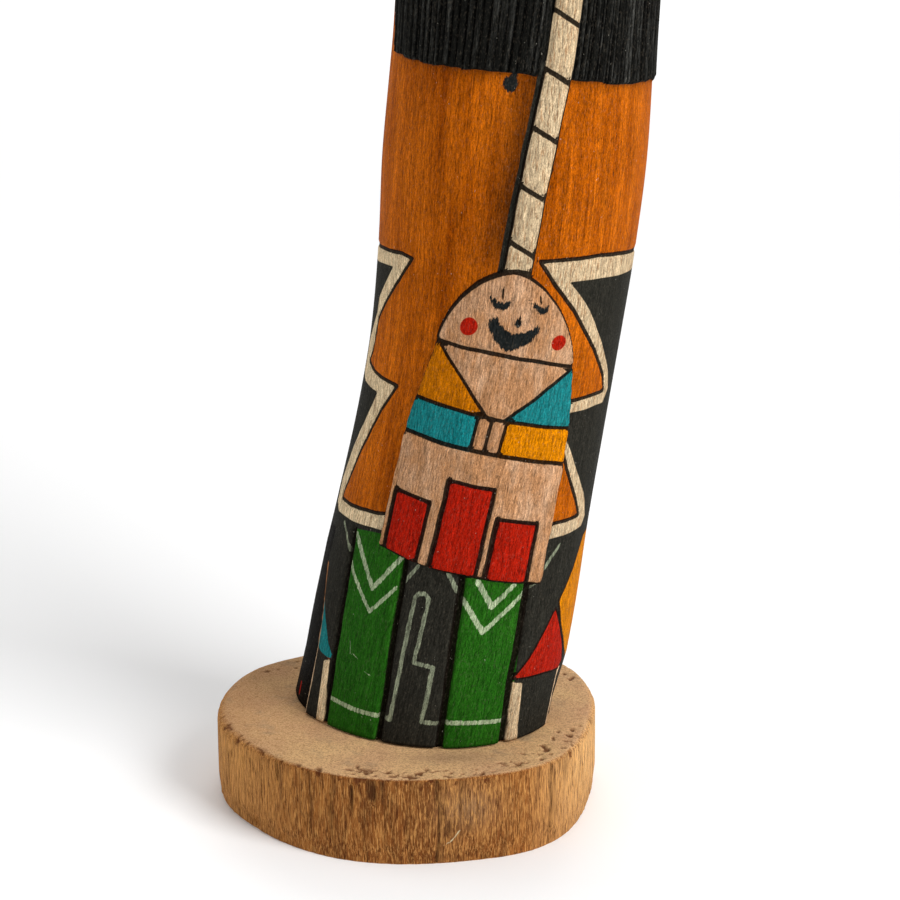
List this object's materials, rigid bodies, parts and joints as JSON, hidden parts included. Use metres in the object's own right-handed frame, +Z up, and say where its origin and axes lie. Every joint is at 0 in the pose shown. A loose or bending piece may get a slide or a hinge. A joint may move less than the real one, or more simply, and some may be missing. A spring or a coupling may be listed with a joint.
{
  "type": "carved kachina doll",
  "caption": "Standing doll carved from a curved root, with long cut hair, a rope and a little flat doll down its back, on a round slice of root.",
  "frame": {"origin": "centre of the base's underside", "axes": "+Z up the figure; -Y faces the side with the hair, the rope and the little flat doll"},
  "size_m": [0.0884, 0.074, 0.2516],
  "materials": {
    "painted_wood": "thin matt paint and orange stain over straight-grained wood",
    "bare_root": "unfinished, rough bark side and a sanded pitted top"
  },
  "bodies": {
    "root": {"figure": "painted_wood", "base": "bare_root"}
  },
  "joints": []
}
